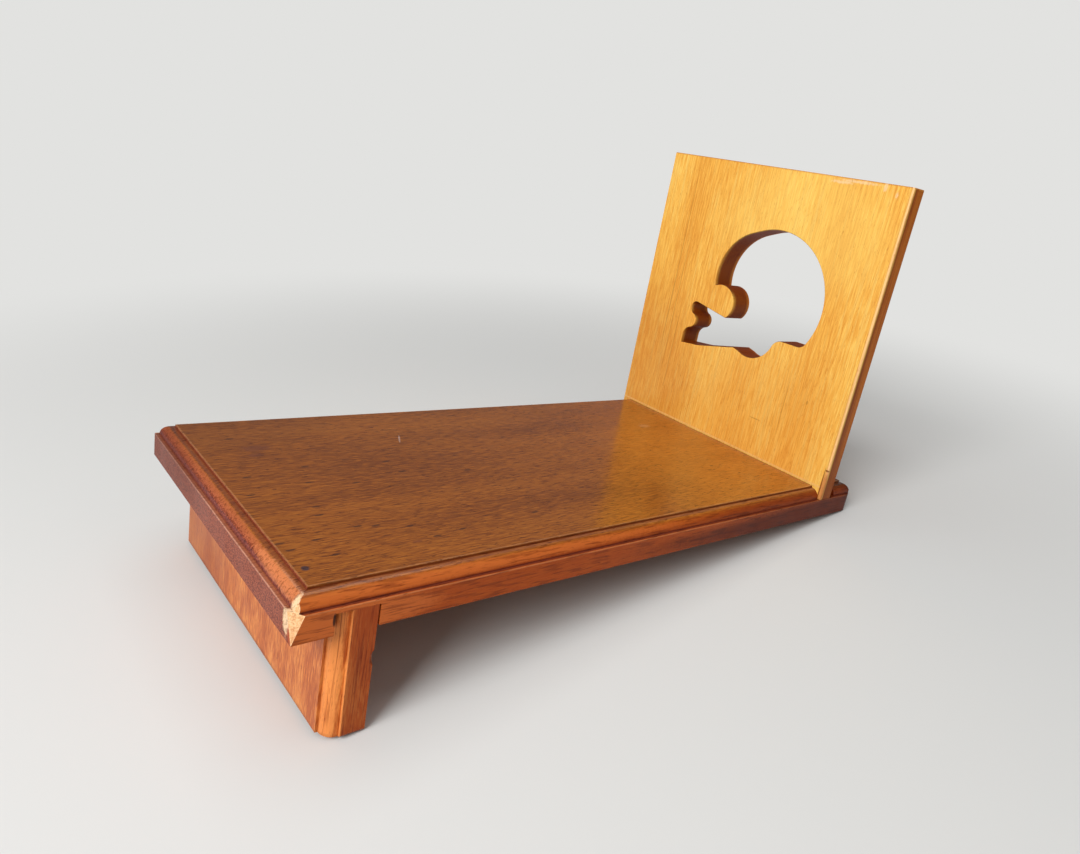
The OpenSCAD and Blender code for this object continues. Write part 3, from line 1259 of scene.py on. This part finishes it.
@dataclass
class EndPanel:
    """The upright panel, moulded on its outer face, with the helmet cut-out.

    Attributes:
        sizes: Sizes of the stand.
        helmet: Sizes of the cut-out.
        rounding: Wear of every arris, in millimetres.
    """

    sizes: StandSizes
    helmet: Helmet = Helmet()
    rounding: float = 0.7

    def build(self, finishes: tuple[bpy.types.Material, ...]) -> bpy.types.Object:
        """Models the panel.

        Args:
            finishes: Its materials, in the order of the layers.

        Returns:
            The finished object.
        """
        size = self.sizes
        front, depth = size.panel_front, size.moulding.depth
        low = (front, 0, -depth - SPARE)
        high = (size.panel_back - depth, size.width, size.panel_height)
        panel = Workpiece.block("panel_wood_board", low, high, finishes)
        panel.mould((1, 0, 0), size.moulding)
        panel.saw((front, 0, -depth), (0, 0, -1))
        panel.combine(self.cutter(), "DIFFERENCE")
        panel.ease(self.rounding)
        return panel.set_on_table(size)

    def cutter_place(self, point: Vector) -> Vector:
        """Finds the place of a point of the helmet on the near side of the cutter.

        Args:
            point: The point, flat, from the middle of the helmet's crown.

        Returns:
            Its place in the board frame.
        """
        x = self.sizes.panel_front - PAST
        y = self.sizes.width - self.helmet.from_back - point.x
        return Vector((x, y, self.helmet.above_deck + point.y))

    def cutter(self) -> Workpiece:
        """Saws the helmet's outline.

        Returns:
            A cutter that runs past both faces of the panel.
        """
        h = self.helmet
        brow_centre = (h.crown - h.brow + h.brow_fullness) * along(h.brow_direction)
        turn_to_crown = math.degrees(math.acos((h.crown - h.brow) / brow_centre.length))
        blend = h.brow_direction - turn_to_crown
        brow_end = direction_of(Vector(h.brow_corner) - brow_centre) % 360
        corner_up = h.nape_height + h.nape_corner
        corner_out = math.sqrt((h.crown - h.nape_corner) ** 2 - corner_up**2)
        corner = Vector((corner_out, corner_up))
        ear = Vector(h.ear_centre)
        hollow_drop = ear.y - h.nape_height + h.nape_hollow
        hollow_out = math.sqrt((h.ear + h.nape_hollow) ** 2 - hollow_drop**2)
        hollow = Vector((ear.x + hollow_out, h.nape_height - h.nape_hollow))
        from_ear = direction_of(hollow - ear)
        upper = Vector(h.upper_bar_centre)
        notch = upper + (h.upper_bar + h.bar_notch) * along(h.notch_from_upper_bar)
        lower = notch + (h.lower_bar + h.bar_notch) * along(h.lower_bar_from_notch)
        notch_start, notch_end = h.notch_from_upper_bar - 180, h.lower_bar_from_notch - 360

        saw = Fretsaw(Vector((hollow.x, h.nape_height)), self.cutter_place)
        saw.curve(corner, h.nape_corner, -90.0, direction_of(corner))
        saw.curve(Vector((0.0, 0.0)), h.crown, direction_of(corner), blend)
        saw.curve(brow_centre, h.brow, blend, brow_end)
        saw.curve(Vector(h.cheek_centre), h.cheek, h.cheek_start, h.cheek_end)
        saw.curve(upper, h.upper_bar, h.upper_bar_start, h.notch_from_upper_bar)
        saw.curve(notch, h.bar_notch, notch_start, notch_end)
        saw.curve(lower, h.lower_bar, h.lower_bar_from_notch - 180, 180.0)
        saw.straight(lower - Vector((h.lower_bar, h.lower_bar_side)))
        saw.straight(Vector(h.guard_bend))
        saw.straight(Vector(h.guard_root))
        saw.curve(ear, h.ear, h.ear_start, 360 + from_ear)
        saw.curve(hollow, h.nape_hollow, 180 + from_ear, 90.0)
        return saw.through((self.sizes.thickness + 2 * PAST, 0.0, 0.0))

    def finish(self) -> bpy.types.Material:
        """Makes the panel's finish.

        Returns:
            Its material.
        """
        size = self.sizes
        inner = size.panel_front
        rim = size.moulding.width
        through = 400.0
        stains_and_light = (
            # Lighter and browner stretches of the inner face, and the redder outer face
            StainAndLight("#ffd870", 0.35, (Mark((inner, 56.0, 130.0), (3.0, 66.0, 44.0)),)),
            StainAndLight("#e89a3c", 0.25, (Mark((inner, 50.0, 20.0), (3.0, 70.0, 52.0), 0.3),)),
            StainAndLight("#c87424", 0.4, (Mark((inner, 165.0, -10.0), (30.0, 80.0, 110.0)),)),
            StainAndLight("#d07028", 0.7, (Mark((inner + 18.0, 80.0, 80.0), (6.0, through, through)),)),
            # Painted shade inside the cut-out and on the edges, partly their darker end grain; the
            # edges' own colours; a painted highlight along the front arris, with a thin line beside
            # it; and a pale line at the foot of the inner face
            StainAndLight(
                "#8a3a04",
                0.95,
                (
                    Mark((inner + 8.0, 80.0, 80.0), (7.9, through, through)),
                    Mark((inner + 3.0, -1.0, 80.0), (2.6, 2.0, through)),
                ),
            ),
            StainAndLight("#c46e20", 0.85, (Mark((inner + 8.5, 0.0, 160.0), (7.2, 1.5, 200.0), 0.2),)),
            StainAndLight("#d08a3a", 0.8, (Mark((inner + 8.0, 80.0, 160.3), (16.0, through, 1.4), 0.2),)),
            StainAndLight("#ffd090", 0.85, (Mark((inner, 0.4, 80.0), (1.1, 0.9, 300.0), 0.2),)),
            StainAndLight("#b8682a", 0.25, (Mark((inner, 1.35, 80.0), (0.6, 0.3, 300.0), 0.5),)),
            StainAndLight("#f3bc72", 0.7, (Mark((inner, 80.0, 0.9), (1.0, through, 0.7), 0.3),)),
            # Painted shade in the moulding's hollows
            moulding_stain_and_light("#6a3014", 0.6, (1.6, -5.9), (1.0, 0.8)),
            moulding_stain_and_light("#6a3014", 0.7, (rim - 0.15, -0.75), (0.45, 0.75)),
            # The sliver that has split off at the foot of the front arris, pale and partly a
            # painted highlight where it turns to the light, and its dark line
            StainAndLight("#d08a4a", 0.95, (Mark((inner + 0.2, 0.6, -3.0), (1.7, 1.9, 17.5), 0.1),)),
            StainAndLight(
                "#7c3410",
                0.85,
                (
                    Mark((inner, 2.05, 1.0), (0.9, 0.45, 14.5), 0.1),
                    Mark((inner + 0.2, 0.9, 11.0), (1.7, 1.4, 0.7), 0.1),
                ),
            ),
            # Darker growth lines and small dents
            StainAndLight(
                "#b4702a",
                0.45,
                (
                    Mark((inner, 137.5, 95.0), (1.0, 0.5, 75.0), 0.5),
                    Mark((inner, 133.0, 70.0), (1.0, 0.4, 60.0), 0.5),
                    Mark((inner, 128.0, 40.0), (1.0, 0.4, 34.0), 0.5),
                    Mark((inner, 38.0, 34.0), (1.0, 0.4, 20.0), 0.5),
                    Mark((inner, 54.0, 22.0), (1.0, 4.4, 0.5), 0.5),
                    Mark((inner, 24.0, 42.0), (1.0, 0.9, 1.4), 0.8),
                ),
            ),
            # Varnish chipped off along the top edge
            StainAndLight(
                "#f8d8a8",
                0.6,
                (
                    Mark((inner, 40.0, 157.4), (1.0, 8.0, 1.0), 1.6),
                    Mark((inner, 30.0, 158.6), (1.0, 14.0, 0.9), 1.8),
                    Mark((inner, 15.0, 158.0), (1.0, 1.3, 2.6), 1.0),
                    Mark((inner, 8.0, 155.0), (1.0, 0.9, 1.8), 1.4),
                ),
            ),
        )
        look = VarnishedMahogany(
            name="panel_varnished_mahogany",
            dark="#e69c3c",
            middle="#f6b850",
            light="#ffd46e",
            pore="#c88c60",
            end_grain="#6e3410",
            edge="#8a4a1c",
            grain=Grain.UPRIGHT,
            streak=(50.0, 1.3),
            fibre=(9.0, 0.5),
            pore_size=(2.6, 0.42),
            figure=(0.2, 0.32, 0.35),
            pore_share=0.3,
            coat=0.3,
            edge_coat=0.04,
            coat_roughness=0.3,
            face_lines=0.22,
            edge_lines=0.4,
            stains_and_light=stains_and_light,
        )
        edges = (Gauge(1), Gauge(1, size.width, -1), Gauge(2, size.panel_height, -1))
        return FinishRoom(look, size, MouldedFace(edges, Gauge(0, size.panel_back))).build()


@dataclass
class FootBoard:
    """The foot under the raised end, moulded on both ends of its outer face.

    Attributes:
        sizes: Sizes of the stand.
        rounding: Wear of every arris, in millimetres.
        bottom_corner: Radius of the two ends of its bottom.
        chip_centre: Middle of the chip in its inner front arris.
        chip_reach: How far the chip's cutter reaches each way.
    """

    sizes: StandSizes
    rounding: float = 0.5
    bottom_corner: float = 1.8
    chip_centre: Point = (29.6, -0.4, -28.6)
    chip_reach: Point = (2.1, 1.8, 3.2)

    def build(self, finishes: tuple[bpy.types.Material, ...]) -> bpy.types.Object:
        """Models the foot.

        Args:
            finishes: Its materials, in the order of the layers.

        Returns:
            The finished object.
        """
        size = self.sizes
        outer, inner = size.foot_set_in, size.foot_inner
        bottom, top = size.foot_bottom, size.foot_top
        low = (outer + size.moulding.depth, 0, bottom - SPARE)
        foot = Workpiece.block("foot_wood_board", low, (inner, size.width, top + SPARE), finishes)
        foot.mould((-1, 0, 0), size.moulding)
        high = (inner + PAST, size.width, top)
        outline = Workpiece.block("outline", (outer - PAST, 0, bottom), high)
        outline.round_edges(self.bottom_corner, lambda end: end.z < bottom + SAME_PLACE)
        foot.combine(outline, "INTERSECT")
        foot.combine(Workpiece.gouge("chip", self.chip_centre, self.chip_reach), "DIFFERENCE")
        foot.ease(self.rounding)
        return foot.set_on_table(size)

    def finish(self) -> bpy.types.Material:
        """Makes the foot's finish.

        Returns:
            Its material.
        """
        size = self.sizes
        outer = size.foot_set_in
        rim = size.moulding.width
        stains_and_light = (
            # Painted shade that darkens and reddens the front side, a painted highlight on the
            # moulding's round, and the darker far end
            StainAndLight("#9e3c08", 0.7, (Mark((outer + 11.5, -1.0, -32.0), (8.0, 3.6, 70.0)),)),
            moulding_stain_and_light("#f39750", 0.75, (3.9, -2.6), (3.6, 3.4)),
            StainAndLight("#a04c14", 0.6, (Mark((outer, 165.0, -40.0), (5.0, 80.0, 60.0)),)),
            # The worn front arris, lightened also as a painted highlight, painted shade along the
            # quirk, dirt on the bottom edge, and a painted shadow in the slot above
            StainAndLight("#f5a05a", 0.6, (Mark((outer + 5.9, 0.6, -35.0), (0.7, 0.9, 60.0), 0.4),)),
            moulding_stain_and_light("#8a3a14", 0.25, (rim - 0.15, -0.75), (0.35, 0.6)),
            StainAndLight("#7a3818", 0.45, (Mark((outer + 6.0, 80.0, -59.5), (20.0, 120.0, 3.4), 0.5),)),
            StainAndLight("#1c0a06", 0.9, (Mark((outer, 5.4, -11.6), (3.8, 3.4, 5.8), 0.1),)),
        )
        look = VarnishedMahogany(
            name="foot_varnished_mahogany",
            dark="#b0551e",
            middle="#cc7030",
            light="#e49046",
            pore="#a87864",
            end_grain="#7d3a20",
            edge="#a5603a",
            grain=Grain.UPRIGHT,
            band=(22.0, 9.0),
            streak=(26.0, 0.7),
            fibre=(5.0, 0.6),
            pore_size=(2.6, 0.4),
            figure=(0.34, 0.2, 0.43),
            coat=0.35,
            coat_roughness=0.3,
            edge_lines=0.6,
            stains_and_light=stains_and_light,
        )
        moulded = MouldedFace((Gauge(1), Gauge(1, size.width, -1)), Gauge(0, size.foot_set_in, -1))
        return FinishRoom(look, size, moulded).build()


# Studio


def turned_to(place: Point, aim: Point) -> Quaternion:
    """Turn of a lamp or a camera that stands at a place and looks at a point."""
    return (Vector(aim) - Vector(place)).to_track_quat("-Z", "Y")


@dataclass(frozen=True)
class Lamp:
    """A soft square lamp.

    Attributes:
        name: Name of the lamp.
        place: Where it hangs, in metres.
        side: Side of its face in metres.
        power: Power in watts.
    """

    name: str
    place: Point
    side: float
    power: float

    def hang(self, aim: Point) -> None:
        """Hangs the lamp.

        Args:
            aim: What it points at.
        """
        data = bpy.data.lights.new(self.name, "AREA")
        data.size = self.side
        data.energy = self.power
        lamp = bpy.data.objects.new(self.name, data)
        lamp.location = self.place
        lamp.rotation_euler = turned_to(self.place, aim).to_euler()
        bpy.context.scene.collection.objects.link(lamp)


@dataclass(frozen=True)
class Studio:
    """Plain pale floor, soft light from the raised end, and the photograph's viewpoint.

    Attributes:
        floor_colour: sRGB hex value of the matt floor.
        floor_radius: Its radius in metres.
        background: sRGB hex value that the camera sees in the distance.
        clear_floor: Distances in metres between which the floor fades to the background.
        room_colour: Linear colour of the soft light from all round.
        room_light: Strength of that light.
        lamps: The lamps.
        lamp_aim: What they point at, in metres.
        camera_place: Where the camera stands.
        camera_aim: What it points at.
        camera_roll: How far it is turned about its own axis, in degrees.
        lens: Focal length in millimetres.
        sensor: Width of the picture behind the lens, in millimetres.
        shift: Shift of the lens sideways, in widths of the picture.
        nearest: Nearest distance that it shows, in metres.
    """

    floor_colour: str = "#dcdcda"
    floor_radius: float = 12.0
    background: str = "#e2e2e0"
    clear_floor: Flat = (0.22, 0.62)
    room_colour: tuple[float, ...] = (1.0, 0.99, 0.97, 1.0)
    room_light: float = 0.14
    lamps: tuple[Lamp, ...] = (
        Lamp("key", (-1.15, -0.35, 0.95), 0.8, 20.0),
        Lamp("overhead", (0.0, 0.1, 1.6), 1.6, 10.0),
        Lamp("fill", (0.5, -1.3, 0.9), 1.2, 2.0),
    )
    lamp_aim: Point = (0.0, 0.0, 0.06)
    camera_place: Point = (-0.22941, -0.28012, 0.20963)
    camera_aim: Point = (0.00343, -0.01573, 0.05993)
    camera_roll: float = 4.758
    lens: float = 26.32
    sensor: float = 36.0
    shift: float = -0.0367
    nearest: float = 0.01

    def floor(self) -> None:
        """Lays the matt floor, which fades into the background for the camera alone."""
        clear_selection()
        bpy.ops.mesh.primitive_circle_add(
            vertices=96, radius=self.floor_radius, fill_type="NGON", location=(0, 0, 0)
        )
        floor = bpy.context.object
        floor.name = "floor"
        material = bpy.data.materials.new("plain_floor")
        bench = NodeBench(material)
        paint = {
            "Base Color": linear(self.floor_colour),
            "Roughness": 0.9,
            "Specular IOR Level": 0.1,
        }
        near = bench.add("BsdfPrincipled", paint)[0]
        far = bench.add("Emission", {"Color": linear(self.background)})[0]
        place = bench.add("TexCoord", [])["Object"]
        distance = bench.add("VectorMath", [place], operation="LENGTH")["Value"]
        fade = bench.add("MapRange", [distance, *self.clear_floor], **SOFT_STEP)[0]
        seen = bench.add("LightPath", [])["Is Camera Ray"]
        share = bench.add("Math", [fade, seen], operation="MULTIPLY")[0]
        mixed = bench.add("MixShader", [share, near, far])[0]
        bench.add("OutputMaterial", {"Surface": mixed})
        floor.data.materials.append(material)

    def world(self) -> None:
        """Fills the room with soft light, and shows a pale background."""
        world = bpy.data.worlds.new("studio")
        bpy.context.scene.world = world
        bench = NodeBench(world)
        seen = bench.add("LightPath", [])["Is Camera Ray"]
        soft = {"Color": self.room_colour, "Strength": self.room_light}
        soft = bench.add("Background", soft)[0]
        shown = bench.add("Background", {"Color": linear(self.background)})[0]
        mixed = bench.add("MixShader", [seen, soft, shown])[0]
        bench.add("OutputWorld", {"Surface": mixed})

    def camera(self) -> None:
        """Sets the camera where the photograph was taken from."""
        data = bpy.data.cameras.new("camera")
        data.sensor_fit = "HORIZONTAL"
        data.sensor_width = self.sensor
        data.lens = self.lens
        data.shift_x = self.shift
        data.clip_start = self.nearest
        camera = bpy.data.objects.new("camera", data)
        look = turned_to(self.camera_place, self.camera_aim).to_matrix().to_4x4()
        turn = look @ Matrix.Rotation(math.radians(self.camera_roll), 4, "Z")
        camera.matrix_world = Matrix.Translation(self.camera_place) @ turn
        bpy.context.scene.collection.objects.link(camera)
        bpy.context.scene.camera = camera

    def build(self) -> None:
        """Sets up the whole studio."""
        self.floor()
        self.world()
        for lamp in self.lamps:
            lamp.hang(self.lamp_aim)
        self.camera()
        bpy.context.scene.view_settings.view_transform = "Standard"


def main() -> None:
    """Builds the three boards and the studio, and reports each piece."""
    logging.basicConfig(level=logging.INFO, format="%(name)s: %(message)s")
    sizes = StandSizes()
    boards = (
        (BaseBoard(sizes), "base_board", "base_wood"),
        (EndPanel(sizes), "end_panel", "panel_wood"),
        (FootBoard(sizes), "foot_board", "foot_wood"),
    )
    bare = bare_wood(sizes)
    for board, node, slot in boards:
        material = board.finish()
        piece = board.build((material, bare))
        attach(piece, "root")
        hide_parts(node)
        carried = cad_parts[node].data.materials
        carried.clear()
        carried.append(material)
        log.info("%s: %d faces", piece.name, len(piece.data.polygons))
    Studio().build()


if __name__ == "__main__":
    main()
